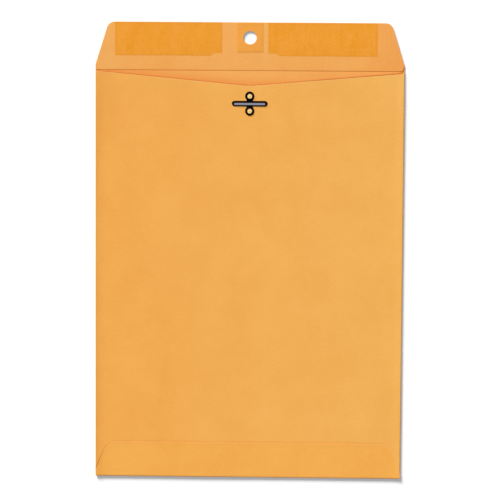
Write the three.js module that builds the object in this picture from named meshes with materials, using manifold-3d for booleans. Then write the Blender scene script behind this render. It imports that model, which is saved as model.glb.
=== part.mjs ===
// A 9 x 12 inch clasp envelope of kraft paper, lying on its address side with its flap open.
//
// Millimetres, +Z up. The origin is the middle of the address face, +Y points to the closure
// flap and +X to the right of someone who looks down on the clasp. The paper is one die-cut
// sheet. It is split here where it is folded, so that each panel and each fold is a solid.

import * as THREE from 'three';
import { mergeVertices } from 'three/addons/utils/BufferGeometryUtils.js';
import Module from 'manifold-3d';

const wasm = await Module();
wasm.setup();

// The folded pocket
const POCKET_WIDTH = 228.6;
const POCKET_HEIGHT = 304.8;
const PAPER = 0.15;
const GLUE_FILM = 0.03;

// The back: two side panels that lap in the middle, cut to a shallow throat at the top
const SEAM_LAP = 16.5;
const SEAM_JOG = 1.5;
const SEAM_GLUE_WIDTH = 11;
const SEAM_GLUE_END_GAP = 2.5;
const THROAT_DEPTH = 10.4;
const THROAT_END_DEPTH = 0.95;
const THROAT_END_WIDTH = 1.8;
const THROAT_CORNER_RADIUS = 3;
const THROAT_MIDDLE_RADIUS = 60;

// The bottom flap, glued up over the back
const BOTTOM_FLAP_HEIGHT = 26.4;
const BOTTOM_FLAP_SHOULDER = 4.5;
const BOTTOM_FLAP_SLOPE = 21.4;
const BOTTOM_FLAP_RADIUS = 9;
const BOTTOM_GLUE_HEIGHT = 14;
const BOTTOM_GLUE_INSET = 2.5;

// The closure flap and its hole
const FLAP_SHOULDER = 4.2;
const FLAP_SLOPE = 18.4;
const FLAP_RADIUS = 5;
const FLAP_HOLE = 9.9;
const FLAP_HOLE_FROM_EDGE = 11.2;

// The patch round the flap's hole
const HOLE_PATCH_SIDE_MARGIN = 4.95;
const HOLE_PATCH_LOWER_MARGIN = 5.95;

// The two strips of gum on the flap
const GUM_FROM_FOLD = 10.8;
const LEFT_GUM_FROM_PATCH = 10.7;
const LEFT_GUM_FROM_CORNER = 3.9;
const RIGHT_GUM_FROM_PATCH = 3.5;
const RIGHT_GUM_FROM_CORNER = 9.6;

// The clasp, stamped from one strip of steel
const CLASP_FROM_THROAT = 13.9;
const CLASP_SHEET = 0.3;
const NECK_WIDTH = 4;
const EYELET_BORE = 3.6;
const EYELET_RIM_WIDTH = 1.65;
const EYELET_RIM_HEIGHT = 0.65;
const CLINCH_FLANGE = 0.7;
const CLINCH_HEIGHT = 0.25;
const CLASP_PATCH_MARGIN = 3;

// Its two prongs, each stiffened by a hollow rib
const PRONG_REACH = 13.2;
const PRONG_WIDTH = 4.06;
const PRONG_BEND_FROM_CENTRE = 2;
const RIB_CREST_WIDTH = 1.7;
const RIB_FLANK_WIDTH = 0.65;
const RIB_RISE = 0.6;
const RIB_FROM_BEND = 0.3;

// Clearances
const CLINCH_TO_FRONT = 0.17;
const BARREL_CLEARANCE = 0.1;
const EYELET_TO_PRONG = 0.02;
const PRONG_LIFT = 0.05;
const BEND_CLEARANCE = 0.2;
const SEAM_CLEARANCE = 0.3;
const FOLD_CLEARANCE = 0.2;

// Facets of the round parts
const CORNER_STEPS = 10;
const FOLD_STEPS = 16;
const EYELET_STEPS = 40;
const HOLE_STEPS = 48;

// Heights of the layers above the address face
const lapDrop = PAPER + GLUE_FILM;
const clinchInside = PAPER + CLINCH_TO_FRONT;
const claspPatchInside = clinchInside + CLINCH_HEIGHT;
const backInside = claspPatchInside + PAPER + lapDrop;
const backOutside = backInside + PAPER;
const bottomFlapInside = backOutside + GLUE_FILM;
const bottomFlapOutside = bottomFlapInside + PAPER;

// Places that several pieces share
const foldY = POCKET_HEIGHT / 2;
const edgeX = POCKET_WIDTH / 2;
const sideFoldRadius = backOutside / 2;
const sideFoldX = edgeX - sideFoldRadius;
const bottomFoldRadius = bottomFlapOutside / 2;
const bottomFoldY = -foldY + bottomFoldRadius;
const sidePanelEndY = bottomFoldY + FOLD_CLEARANCE;
const throatY = foldY - THROAT_DEPTH;
const claspY = throatY - CLASP_FROM_THROAT;
const flapHoleY = foldY + (foldY - claspY);
const flapTopY = flapHoleY + FLAP_HOLE_FROM_EDGE;
const flapSlope = Math.tan(THREE.MathUtils.degToRad(FLAP_SLOPE));
const flapTopX = edgeX - (flapTopY - foldY - FLAP_SHOULDER) * flapSlope;
const holePatchX = FLAP_HOLE / 2 + HOLE_PATCH_SIDE_MARGIN;

// Radii of the eyelets, and how far their centres lie from the clasp's
const boreRadius = EYELET_BORE / 2;
const barrelRadius = boreRadius + CLASP_SHEET;
const rimRadius = boreRadius + EYELET_RIM_WIDTH;
const eyeletOffset = PRONG_WIDTH / 2 + EYELET_TO_PRONG + rimRadius;

const kraft = new THREE.MeshStandardMaterial({ color: 0xf0ad56, roughness: 0.85, metalness: 0 });
const patchPaper = new THREE.MeshStandardMaterial({ color: 0xf0a347, roughness: 0.8, metalness: 0 });
const gum = new THREE.MeshStandardMaterial({ color: 0xef9c33, roughness: 0.45, metalness: 0 });
const paste = new THREE.MeshStandardMaterial({ color: 0xe8dcc0, roughness: 0.6, metalness: 0 });
const tinnedSteel = new THREE.MeshStandardMaterial({ color: 0x8c8c96, roughness: 0.35, metalness: 1 });

// A closed three.js geometry as a solid that can be cut and joined
function solidOf(geometry) {
  const bare = geometry.clone();
  bare.deleteAttribute('normal');
  bare.deleteAttribute('uv');
  const merged = mergeVertices(bare, 1e-4);
  const corners = merged.index.array;
  const faces = [];
  for (let i = 0; i < corners.length; i += 3) {
    const [a, b, c] = corners.slice(i, i + 3);
    if (a !== b && b !== c && c !== a) faces.push(a, b, c);
  }
  return new wasm.Manifold(new wasm.Mesh({
    numProp: 3,
    vertProperties: new Float32Array(merged.attributes.position.array),
    triVerts: new Uint32Array(faces),
  }));
}

function piece(name, solid, material) {
  const { vertProperties, triVerts } = solid.getMesh();
  const geometry = new THREE.BufferGeometry();
  geometry.setAttribute('position', new THREE.BufferAttribute(vertProperties, 3));
  geometry.setIndex(new THREE.BufferAttribute(triVerts, 1));
  geometry.computeVertexNormals();
  const mesh = new THREE.Mesh(geometry, material);
  mesh.name = name;
  return mesh;
}

// A sheet with the given plan, from height z up by its thickness
function plate(plan, z, thickness) {
  const geometry = new THREE.ExtrudeGeometry(plan, { depth: thickness, bevelEnabled: false });
  geometry.translate(0, 0, z);
  return solidOf(geometry);
}

// A section drawn in X and Z, carried along Y
function alongY(section, fromY, toY) {
  const geometry = new THREE.ExtrudeGeometry(section, { depth: toY - fromY, bevelEnabled: false });
  geometry.rotateX(Math.PI / 2);
  geometry.translate(0, toY, 0);
  return solidOf(geometry);
}

// A section drawn in Y and Z, carried along X
function alongX(section, fromX, toX) {
  const geometry = new THREE.ExtrudeGeometry(section, { depth: toX - fromX, bevelEnabled: false });
  geometry.rotateZ(Math.PI / 2);
  geometry.rotateY(Math.PI / 2);
  geometry.translate(fromX, 0, 0);
  return solidOf(geometry);
}

// A section of radius and height, turned about the upright through x and y
function turned(section, x, y) {
  const geometry = new THREE.LatheGeometry(section, EYELET_STEPS);
  geometry.rotateX(Math.PI / 2);
  geometry.translate(x, y, 0);
  return solidOf(geometry);
}

// An upright round rod
function rod(radius, x, y, fromZ, toZ, steps) {
  const geometry = new THREE.CylinderGeometry(radius, radius, toZ - fromZ, steps);
  geometry.rotateX(Math.PI / 2);
  geometry.translate(x, y, (fromZ + toZ) / 2);
  return solidOf(geometry);
}

function arcPoints(x, y, radiusX, radiusY, from, to, clockwise, steps) {
  return new THREE.EllipseCurve(x, y, radiusX, radiusY, from, to, clockwise).getPoints(steps);
}

// An outline from corners [x, y, radius]; a corner without a radius stays sharp
function outline(corners) {
  const points = [];
  corners.forEach(([x, y, radius], i) => {
    const corner = new THREE.Vector2(x, y);
    if (!radius) {
      points.push(corner);
      return;
    }
    const last = corners[(i + corners.length - 1) % corners.length];
    const next = corners[(i + 1) % corners.length];
    const back = new THREE.Vector2(last[0], last[1]).sub(corner).normalize();
    const ahead = new THREE.Vector2(next[0], next[1]).sub(corner).normalize();
    const halfAngle = Math.acos(back.dot(ahead)) / 2;
    const middle = back.clone().add(ahead).setLength(radius / Math.sin(halfAngle)).add(corner);
    const reach = radius / Math.tan(halfAngle);
    const start = back.multiplyScalar(reach).add(corner).sub(middle);
    const end = ahead.multiplyScalar(reach).add(corner).sub(middle);
    const clockwise = start.cross(end) < 0;
    points.push(...arcPoints(middle.x, middle.y, radius, radius,
      start.angle(), end.angle(), clockwise, CORNER_STEPS));
  });
  return new THREE.Shape(points);
}

function rectangle(fromX, toX, fromY, toY) {
  return outline([[fromX, fromY], [toX, fromY], [toX, toY], [fromX, toY]]);
}

// Half a ring of paper: its flat ends lie at u, and it bellies out towards side
function rolledFold(u, radius, side) {
  const turn = side * Math.PI / 2;
  const inner = radius - PAPER;
  return new THREE.Shape([
    ...arcPoints(u, radius, radius, radius, -turn, turn, false, FOLD_STEPS),
    ...arcPoints(u, radius, inner, inner, turn, -turn, true, FOLD_STEPS),
  ]);
}

function frontPanel() {
  return plate(rectangle(-sideFoldX, sideFoldX, bottomFoldY, foldY), 0, PAPER);
}

function sideFold(side) {
  return alongY(rolledFold(side * sideFoldX, sideFoldRadius, side), sidePanelEndY, foldY);
}

// One half of the back: its throat edge falls from the side fold to the seam
function sidePanelPlan(side) {
  const freeX = -side * SEAM_LAP / 2;
  return outline([
    [freeX, sidePanelEndY],
    [freeX, throatY, THROAT_CORNER_RADIUS],
    [side * SEAM_LAP / 4, throatY, THROAT_MIDDLE_RADIUS],
    [side * (edgeX - THROAT_END_WIDTH), foldY - THROAT_END_DEPTH],
    [side * sideFoldX, foldY],
    [side * sideFoldX, sidePanelEndY],
  ]);
}

function withEyeletHoles(sheet) {
  const radius = barrelRadius + BARREL_CLEARANCE;
  const cut = (solid, side) => solid.subtract(
    rod(radius, 0, claspY + side * eyeletOffset, 0, 2 * backOutside, EYELET_STEPS));
  return [-1, 1].reduce(cut, sheet);
}

function leftSidePanel() {
  return withEyeletHoles(plate(sidePanelPlan(-1), backInside, PAPER));
}

// The right half dips under the left one by a paper and a film of paste
function rightSidePanel() {
  const jogX = SEAM_LAP / 2 + SEAM_CLEARANCE;
  const under = [
    [-SEAM_LAP / 2, backInside - lapDrop],
    [jogX, backInside - lapDrop],
    [jogX + SEAM_JOG, backInside],
    [sideFoldX, backInside],
  ];
  const over = under.map(([x, z]) => [x, z + PAPER]).reverse();
  const sheet = alongY(outline([...under, ...over]), sidePanelEndY, foldY);
  return withEyeletHoles(sheet.intersect(plate(sidePanelPlan(1), 0, 2 * backOutside)));
}

function centreSeamGlue() {
  const strip = rectangle(-SEAM_GLUE_WIDTH / 2, SEAM_GLUE_WIDTH / 2,
    sidePanelEndY + SEAM_GLUE_END_GAP, throatY - SEAM_GLUE_END_GAP);
  return withEyeletHoles(plate(strip, backInside - GLUE_FILM, GLUE_FILM));
}

function bottomFold() {
  return alongX(rolledFold(bottomFoldY, bottomFoldRadius, -1), -edgeX + PAPER, edgeX - PAPER);
}

// The bottom flap's plan from fromY up, drawn in all round by an inset
function bottomFlapPlan(fromY, inset) {
  const topY = -foldY + BOTTOM_FLAP_HEIGHT - inset;
  const shoulderY = -foldY + BOTTOM_FLAP_SHOULDER;
  const slope = Math.tan(THREE.MathUtils.degToRad(BOTTOM_FLAP_SLOPE));
  const wideX = edgeX - PAPER - inset;
  const sideX = (y) => wideX - Math.max(0, y - shoulderY) * slope;
  const right = [[sideX(fromY), fromY], [sideX(topY), topY, BOTTOM_FLAP_RADIUS - inset]];
  if (fromY < shoulderY) right.splice(1, 0, [wideX, shoulderY]);
  const left = right.map(([x, y, radius]) => [-x, y, radius]).reverse();
  return outline([...right, ...left]);
}

function bottomFlap() {
  return plate(bottomFlapPlan(bottomFoldY, 0), bottomFlapInside, PAPER);
}

function bottomFlapGlue() {
  const fromY = -foldY + BOTTOM_FLAP_HEIGHT - BOTTOM_GLUE_INSET - BOTTOM_GLUE_HEIGHT;
  return plate(bottomFlapPlan(fromY, BOTTOM_GLUE_INSET), backOutside, GLUE_FILM);
}

function closureFlapPlan() {
  return outline([
    [-edgeX, foldY],
    [edgeX, foldY],
    [edgeX, foldY + FLAP_SHOULDER],
    [flapTopX, flapTopY, FLAP_RADIUS],
    [-flapTopX, flapTopY, FLAP_RADIUS],
    [-edgeX, foldY + FLAP_SHOULDER],
  ]);
}

// The tip of a side panel that runs past the crease, pressed flat on the flap
function shoulderTab(side) {
  const tab = new THREE.Shape();
  tab.moveTo(side * (edgeX - THROAT_END_WIDTH), foldY);
  tab.lineTo(side * edgeX, foldY);
  tab.lineTo(side * edgeX, foldY + FLAP_SHOULDER);
  tab.quadraticCurveTo(side * (edgeX - THROAT_END_WIDTH / 4), foldY + FLAP_SHOULDER / 6,
    side * (edgeX - THROAT_END_WIDTH), foldY);
  return plate(tab, PAPER, PAPER);
}

function flapHole() {
  return rod(FLAP_HOLE / 2, 0, flapHoleY, -PAPER, 3 * PAPER, HOLE_STEPS);
}

function closureFlap() {
  return plate(closureFlapPlan(), 0, PAPER)
    .add(shoulderTab(-1))
    .add(shoulderTab(1))
    .subtract(flapHole());
}

function flapHolePatch() {
  const lowY = flapHoleY - FLAP_HOLE / 2 - HOLE_PATCH_LOWER_MARGIN;
  return plate(rectangle(-holePatchX, holePatchX, lowY, flapTopY), PAPER, PAPER)
    .subtract(flapHole());
}

// A strip of gum from the patch towards the flap's corner, on one side
function flapGum(side, fromPatch, fromCorner) {
  const ends = [side * (holePatchX + fromPatch), side * (flapTopX - fromCorner)];
  return plate(rectangle(Math.min(...ends), Math.max(...ends), foldY + GUM_FROM_FOLD, flapTopY),
    PAPER, GLUE_FILM);
}

function claspBackingPatch() {
  const halfWidth = rimRadius + CLASP_PATCH_MARGIN;
  const halfHeight = eyeletOffset + halfWidth;
  const sheet = rectangle(-halfWidth, halfWidth, claspY - halfHeight, claspY + halfHeight);
  return withEyeletHoles(plate(sheet, claspPatchInside, PAPER));
}

// The clasp is drawn about its own centre, with z = 0 on the paper that it lies on

// A rolled rim, a barrel down through the paper, and a flange clinched against the patch
function eyelet(y) {
  const patchZ = claspPatchInside - backOutside;
  const clinchZ = clinchInside - backOutside;
  const rim = arcPoints((boreRadius + rimRadius) / 2, 0, EYELET_RIM_WIDTH / 2, EYELET_RIM_HEIGHT,
    Math.PI, 0, true, EYELET_STEPS / 4);
  const barrel = [
    [barrelRadius, 0],
    [barrelRadius, patchZ],
    [barrelRadius + CLINCH_FLANGE, patchZ],
    [barrelRadius + CLINCH_FLANGE, (clinchZ + patchZ) / 2],
    [barrelRadius, clinchZ],
    [boreRadius, patchZ],
    [boreRadius, 0],
  ].map(([r, z]) => new THREE.Vector2(r, z));
  const section = [...barrel, ...rim.slice(1), barrel[0]];
  return turned(section.reverse(), 0, y);
}

// The strip that carries the eyelets, with a bridge that the prongs bend away from
function claspBase() {
  const neckX = NECK_WIDTH / 2;
  const bridgeX = PRONG_BEND_FROM_CENTRE - CLASP_SHEET / 2 - BEND_CLEARANCE;
  const waistY = PRONG_WIDTH / 2 + BEND_CLEARANCE;
  const bore = (y) => rod(boreRadius, 0, y, -CLASP_SHEET, 2 * CLASP_SHEET, EYELET_STEPS);
  const neck = (side) => plate(rectangle(-neckX, neckX,
    Math.min(side * waistY, side * eyeletOffset), Math.max(side * waistY, side * eyeletOffset)),
  0, CLASP_SHEET).subtract(bore(side * eyeletOffset)).add(eyelet(side * eyeletOffset));
  return plate(rectangle(-bridgeX, bridgeX, -waistY, waistY), 0, CLASP_SHEET)
    .add(neck(-1))
    .add(neck(1));
}

// A bead with round ends: half its section, as [half width, z], carried from end to end
function bead(halfSection, fromX, toX) {
  const farHalf = halfSection.map(([u, z]) => [-u, z]).reverse();
  const lowest = halfSection[0][1];
  const highest = halfSection[halfSection.length - 1][1];
  const turnedSection = [[0, lowest], ...halfSection, [0, highest]].map(
    ([u, z]) => new THREE.Vector2(u, z));
  return alongX(outline([...halfSection, ...farHalf]), fromX, toX)
    .add(turned(turnedSection, fromX, 0))
    .add(turned(turnedSection, toX, 0));
}

// A prong that points to +X: a strip with a knuckle at its bend and a rib pressed up in it
function prong() {
  const halfWidth = PRONG_WIDTH / 2;
  const sheetTop = PRONG_LIFT + CLASP_SHEET;
  const crest = RIB_CREST_WIDTH / 2;
  const foot = crest + RIB_FLANK_WIDTH;
  const flankAngle = Math.atan2(RIB_RISE, RIB_FLANK_WIDTH);
  const inset = CLASP_SHEET * Math.tan(flankAngle / 2);
  const tipX = PRONG_REACH - halfWidth;
  const ribX = PRONG_BEND_FROM_CENTRE + RIB_FROM_BEND + foot;
  const plan = new THREE.Shape([
    new THREE.Vector2(PRONG_BEND_FROM_CENTRE, -halfWidth),
    ...arcPoints(tipX, 0, halfWidth, halfWidth, -Math.PI / 2, Math.PI / 2, false, FOLD_STEPS),
    new THREE.Vector2(PRONG_BEND_FROM_CENTRE, halfWidth),
  ]);
  const knuckle = new THREE.CylinderGeometry(
    CLASP_SHEET / 2, CLASP_SHEET / 2, PRONG_WIDTH, FOLD_STEPS);
  knuckle.translate(PRONG_BEND_FROM_CENTRE, 0, PRONG_LIFT + CLASP_SHEET / 2);
  const rib = bead([[foot, PRONG_LIFT], [foot, sheetTop], [crest, sheetTop + RIB_RISE]],
    ribX, tipX);
  const hollow = bead([[foot - inset, 0], [foot - inset, PRONG_LIFT],
    [crest - inset, PRONG_LIFT + RIB_RISE]], ribX, tipX);
  return plate(plan, PRONG_LIFT, CLASP_SHEET).add(solidOf(knuckle)).add(rib).subtract(hollow);
}

const pocket = new THREE.Group();
pocket.add(piece('front_panel', frontPanel(), kraft));
pocket.add(piece('left_fold', sideFold(-1), kraft));
pocket.add(piece('right_fold', sideFold(1), kraft));
pocket.add(piece('left_side_panel', leftSidePanel(), kraft));
pocket.add(piece('right_side_panel', rightSidePanel(), kraft));
pocket.add(piece('centre_seam_glue', centreSeamGlue(), paste));
pocket.add(piece('bottom_fold', bottomFold(), kraft));
pocket.add(piece('bottom_flap', bottomFlap(), kraft));
pocket.add(piece('bottom_flap_glue', bottomFlapGlue(), paste));
pocket.add(piece('clasp_backing_patch', claspBackingPatch(), patchPaper));

const leftGum = flapGum(-1, LEFT_GUM_FROM_PATCH, LEFT_GUM_FROM_CORNER);
const rightGum = flapGum(1, RIGHT_GUM_FROM_PATCH, RIGHT_GUM_FROM_CORNER);
const flap = new THREE.Group();
flap.add(piece('closure_flap', closureFlap(), kraft));
flap.add(piece('flap_hole_patch', flapHolePatch(), patchPaper));
flap.add(piece('flap_gum_left', leftGum, gum));
flap.add(piece('flap_gum_right', rightGum, gum));

const leftProng = piece('prong_left', prong(), tinnedSteel);
leftProng.rotation.z = Math.PI;
const clasp = new THREE.Group();
clasp.position.set(0, claspY, backOutside);
clasp.add(piece('clasp_base', claspBase(), tinnedSteel));
clasp.add(leftProng);
clasp.add(piece('prong_right', prong(), tinnedSteel));

const group = new THREE.Group();
group.add(pocket);
group.add(flap);
group.add(clasp);

export default group;
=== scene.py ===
"""A 9 x 12 inch clasp envelope of kraft paper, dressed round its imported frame.

Every piece is drawn in metres in the frame's own place: the address face lies on z = 0, +Y points
to the closure flap, and +X is to the right of someone who looks down on the clasp.
"""

import math

import bmesh
import bpy
from bpy.props import FloatProperty, FloatVectorProperty, IntProperty, PointerProperty
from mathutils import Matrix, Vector, noise


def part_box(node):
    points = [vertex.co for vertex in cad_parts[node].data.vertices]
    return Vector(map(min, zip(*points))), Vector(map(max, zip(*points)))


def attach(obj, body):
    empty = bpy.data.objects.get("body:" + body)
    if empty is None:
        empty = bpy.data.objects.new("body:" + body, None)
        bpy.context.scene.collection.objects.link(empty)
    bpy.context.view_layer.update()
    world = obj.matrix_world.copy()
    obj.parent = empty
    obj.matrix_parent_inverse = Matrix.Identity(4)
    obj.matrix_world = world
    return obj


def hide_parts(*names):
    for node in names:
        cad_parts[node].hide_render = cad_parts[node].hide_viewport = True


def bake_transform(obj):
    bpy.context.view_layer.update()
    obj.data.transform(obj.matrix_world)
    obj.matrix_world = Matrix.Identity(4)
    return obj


bl_info = {
    "name": "Clasp Envelope",
    "version": (1, 0, 0),
    "blender": (4, 5, 0),
    "location": "View3D > Sidebar > Envelope",
    "description": "Models a kraft clasp envelope, its flap, its gum and its steel clasp",
    "category": "Object",
}

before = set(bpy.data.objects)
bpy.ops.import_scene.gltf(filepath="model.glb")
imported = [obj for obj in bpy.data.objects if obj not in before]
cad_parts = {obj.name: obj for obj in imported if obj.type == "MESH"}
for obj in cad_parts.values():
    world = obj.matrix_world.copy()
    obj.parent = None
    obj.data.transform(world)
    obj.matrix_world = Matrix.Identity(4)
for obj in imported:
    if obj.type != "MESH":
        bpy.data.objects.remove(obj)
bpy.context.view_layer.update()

MM = 0.001
MERGE = 1e-6
CUT = 1e-7

# Places and heights that the frame gives
front_low, front_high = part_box("front_panel")
side_low, side_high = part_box("left_side_panel")
bottom_low, bottom_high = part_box("bottom_flap")
flap_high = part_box("closure_flap")[1]
patch_low, patch_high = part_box("flap_hole_patch")
clasp_low, clasp_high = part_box("clasp_base")
prong_low, prong_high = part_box("prong_right")
backing_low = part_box("clasp_backing_patch")[0]

PAPER = front_high.z
FOLD_Y = front_high.y
SIDE_FOLD_X = front_high.x
EDGE_X = flap_high.x
FRONT_Z = PAPER / 2
BACK_Z = side_high.z - PAPER / 2
LAP_X = side_high.x
BOTTOM_FLAP_Z = bottom_high.z - PAPER / 2
FLAP_TOP_Y = flap_high.y
CLASP_Y = (clasp_low.y + clasp_high.y) / 2
RIM_RADIUS = clasp_high.x
EYELET_OFFSET = clasp_high.y - CLASP_Y - RIM_RADIUS

# Radius of the holes that the eyelets' barrels pierce
EYELET_HOLE = 2.2 * MM
# Distances from a side fold, in mm, at which a side panel's net has lines for its rim
RIM_LINES = (0.7, 1.4, 2.1, 3, 4.2, 5.6, 7.2)
# How far fibres are bared, which makes them paler: pierced by an eyelet, and cut at the mouth, the
# bottom flap and the seam. The same paint is also painted light: the light in the eyelets' bores,
# highlights along the cut edges, and light painted over the seam's shadow
PIERCED_AND_LIT, CUT_MOUTH_AND_LIT, CUT_BOTTOM_AND_LIT, CUT_SEAM_AND_LIT = 0.65, 0.25, 0.12, 0.1
TABLE_SIZE = 12


def linear(code):
    """An sRGB hex colour as linear red, green and blue."""
    parts = [int(code[i : i + 2], 16) / 255 for i in (0, 2, 4)]
    return [p / 12.92 if p <= 0.04045 else ((p + 0.055) / 1.055) ** 2.4 for p in parts]


def size(name, description, default):
    return FloatProperty(
        name=name, description=description, default=default, precision=5, unit="LENGTH"
    )


def turn(name, description, degrees):
    return FloatProperty(
        name=name, description=description, default=math.radians(degrees), subtype="ANGLE"
    )


def colour(name, description, code):
    return FloatVectorProperty(
        name=name, description=description, default=linear(code), min=0, max=1, subtype="COLOR"
    )


class PaperSettings(bpy.types.PropertyGroup):
    """The folded sheet"""

    outside: colour("Outside", "Colour of the sheet's outer face", "f0ac51")
    inside: colour("Inside", "Colour of the sheet's inner face, a little redder", "f2a956")
    bottom: colour("Bottom", "Colour of the bottom flap, a little deeper", "f2ab4c")
    # The crease colour paints the crease's darker crushed fibres and, mostly, painted shade: in its
    # groove, in the crack under the mouth, on the left fold, by the bottom flap's edge, in the slits
    # and above the flap's crease
    crease: colour("Crease", "Colour of the sheet where it is creased or held in a slit", "b0560c")
    mouth: colour("Mouth", "Colour of the inner face in the light that the mouth lets in", "eb9747")
    # Paler bared fibres. This colour also paints light in the eyelets' bores, highlights along cut
    # edges, and the pale right fold
    scuff_and_painted_light: colour("Scuffed", "Colour of fibres that a knife has cut or a rub has opened", "ffe0a0")
    patch: colour("Patch", "Colour of the reinforcement patches", "efa03f")
    gum: colour("Gum", "Colour of the dried gum on the flap", "ed9a2d")
    paste: colour("Paste", "Colour of the dried paste in the seams", "e8dcc0")
    mottle: FloatProperty(name="Mottle", description="Depth of the sheet's clouds", default=0.068)
    cell: size("Cell", "Size of the net that a panel is drawn with", 3 * MM)
    fine_cell: size("Fine cell", "Size of the net near cut edges", 1 * MM)
    roll_steps: IntProperty(name="Roll steps", description="Facets of a rolled fold", default=14)
    throat_depth: size("Throat depth", "From the crease down to the throat", 11 * MM)
    throat_end_depth: size("Throat end depth", "Depth of the throat at its ends", 0.95 * MM)
    throat_slack: size("Throat slack", "How much deeper its right end lies", 0.75 * MM)
    throat_end_width: size("Throat end width", "Width of its steep end", 1.8 * MM)
    throat_corner: size("Throat corner", "Radius of a side panel's free corner", 3 * MM)
    throat_middle: size("Throat middle", "Radius where the throat flattens", 60 * MM)
    rim_height: size("Rim height", "How far the springy side folds stand up", 0.32 * MM)
    rim_width: size("Rim width", "How fast the rim falls away inwards", 4 * MM)
    crease_hold: FloatProperty(
        name="Crease hold", description="Share of the rims and waves that the flap's crease flattens",
        default=0.92,
    )
    crease_run: size("Crease run", "Length in which they come up from the crease", 24 * MM)
    # Painted shade on the left fold: where the crease begins, and along its edge
    crease_shade: FloatProperty(
        name="Crease shade", description="How dark the left fold is where the crease begins",
        default=0.15,
    )
    crease_shade_width: size("Crease shade width", "How far inwards that shade reaches", 13 * MM)
    crease_shade_run: size("Crease shade run", "How far down the fold it reaches", 30 * MM)
    fold_shade: FloatProperty(
        name="Fold shade", description="How dark the left fold's edge is", default=0.26
    )
    fold_shade_width: size("Fold shade width", "How far inwards that shade reaches", 1.6 * MM)
    # Painted light: the right fold is painted paler, as its rim looks where the lamp falls on it
    painted_light: FloatProperty(
        name="Lit", description="How far the right fold is rubbed pale", default=0.07
    )
    painted_light_width: size("Rubbed width", "How far inwards the rub reaches", 9 * MM)
    painted_light_run: size("Rubbed run", "How far down the fold it reaches", 50 * MM)
    gape: size("Gape", "How far the mouth of the pocket stands open", 0.15 * MM)
    gape_width: size("Gape width", "How far down the panels the mouth bulges", 14 * MM)
    mouth_width: size("Mouth width", "How far the mouth's deeper colour reaches", 4.6 * MM)
    crack_shade: size("Crack", "Width of the dark line under the mouth's edge", 0.6 * MM)
    lip: size("Lip", "Width of the paler cut edge", 0.4 * MM)
    wave_height: size("Wave height", "Height of the sheet's slow waves", 0.12 * MM)
    wave_length: size("Wave length", "Length of the sheet's slow waves", 70 * MM)
    clasp_hold: size("Clasp hold", "Radius that the clasp holds flat", 14 * MM)
    plug_rise: size("Plug rise", "How far the pierced sheet domes in an eyelet", 0.35 * MM)
    seam_glue: size("Seam glue", "Half the width of the paste in the seam", 5.5 * MM)
    seam_drop: size("Seam drop", "How much lower the pressed lower panel lies", 0.08 * MM)
    seam_run: size("Seam run", "Width in which the lower panel comes up again", 14 * MM)
    bottom_shoulder: size("Bottom shoulder", "Straight foot of the bottom flap", 4.5 * MM)
    bottom_slope: turn("Bottom slope", "Slant of the bottom flap's sides", 21.4)
    bottom_radius: size("Bottom radius", "Radius of the bottom flap's corners", 12 * MM)
    # Painted shade along the bottom flap's cut edge, and a painted shadow in its slit at the left end
    bottom_shade_width: size("Bottom press", "Width of the shade along the flap's edge", 0.8 * MM)
    bottom_shade: FloatProperty(
        name="Bottom shade", description="How dark the shade along the bottom flap is", default=0.3
    )
    bottom_slit: size("Bottom slit", "Width of the dark slit at its left end", 0.7 * MM)
    bottom_slit_run: size("Bottom slit run", "How far in that slit reaches", 25 * MM)
    bottom_lift: size("Bottom lift", "How far its cut edge curls up", 0.03 * MM)
    bottom_lift_width: size("Bottom lift width", "Width of that curl", 1.4 * MM)
    bottom_lift_run: size("Bottom lift run", "Length in which it begins at the fold", 3 * MM)


class FlapSettings(bpy.types.PropertyGroup):
    """The closure flap"""

    shoulder: size("Shoulder", "Straight foot of the flap's sides", 4.2 * MM)
    slope: turn("Slope", "Slant of the flap's sides", 17.4)
    radius: size("Radius", "Radius of the flap's corners", 6 * MM)
    hole: size("Hole", "Diameter of the clasp hole", 9.9 * MM)
    hole_from_edge: size("Hole from edge", "From the flap's top edge to the hole", 11.2 * MM)
    crease: size("Crease", "Half the width of the strip that bends", 0.6 * MM)
    groove: size("Groove", "Depth of the crease", 0.07 * MM)
    groove_width: size("Groove width", "Half the width of the groove", 0.22 * MM)
    lift: size("Lift", "How far the open flap stands off the table", 0.25 * MM)
    lift_run: size("Lift run", "Width in which it comes up from the crease", 22 * MM)
    tab_lift: size("Tab lift", "How far a shoulder tab stands off the flap", 0.03 * MM)
    # The slit's dark is a painted shadow
    slit: size("Slit", "Width of the dark slit beside the right tab", 0.6 * MM)
    cell: size("Cell", "Size of the net that the flap is drawn with", 1.5 * MM)
    strip_cell: size("Strip cell", "Length of that net's cells along the crease", 2 * MM)
    tab_cell: size("Tab cell", "Size of the net of a shoulder tab", 0.3 * MM)
    gum_edge: size("Gum edge", "Width of the gum's darker edge", 0.8 * MM)
    gum_ragged: size("Gum raggedness", "How far the gum's edge wanders", 0.5 * MM)
    gum_grain: size("Gum grain", "Length of a wave in that edge", 2 * MM)
    gum_starved: size("Gum starved", "What the roller leaves bare at the inner end", 1.9 * MM)
    gum_starved_run: size("Gum starved run", "Length of that bare corner", 10 * MM)
    patch_press: FloatProperty(
        name="Patch press", description="Share of its thickness that the patch's edge loses",
        default=0.7,
    )


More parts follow.
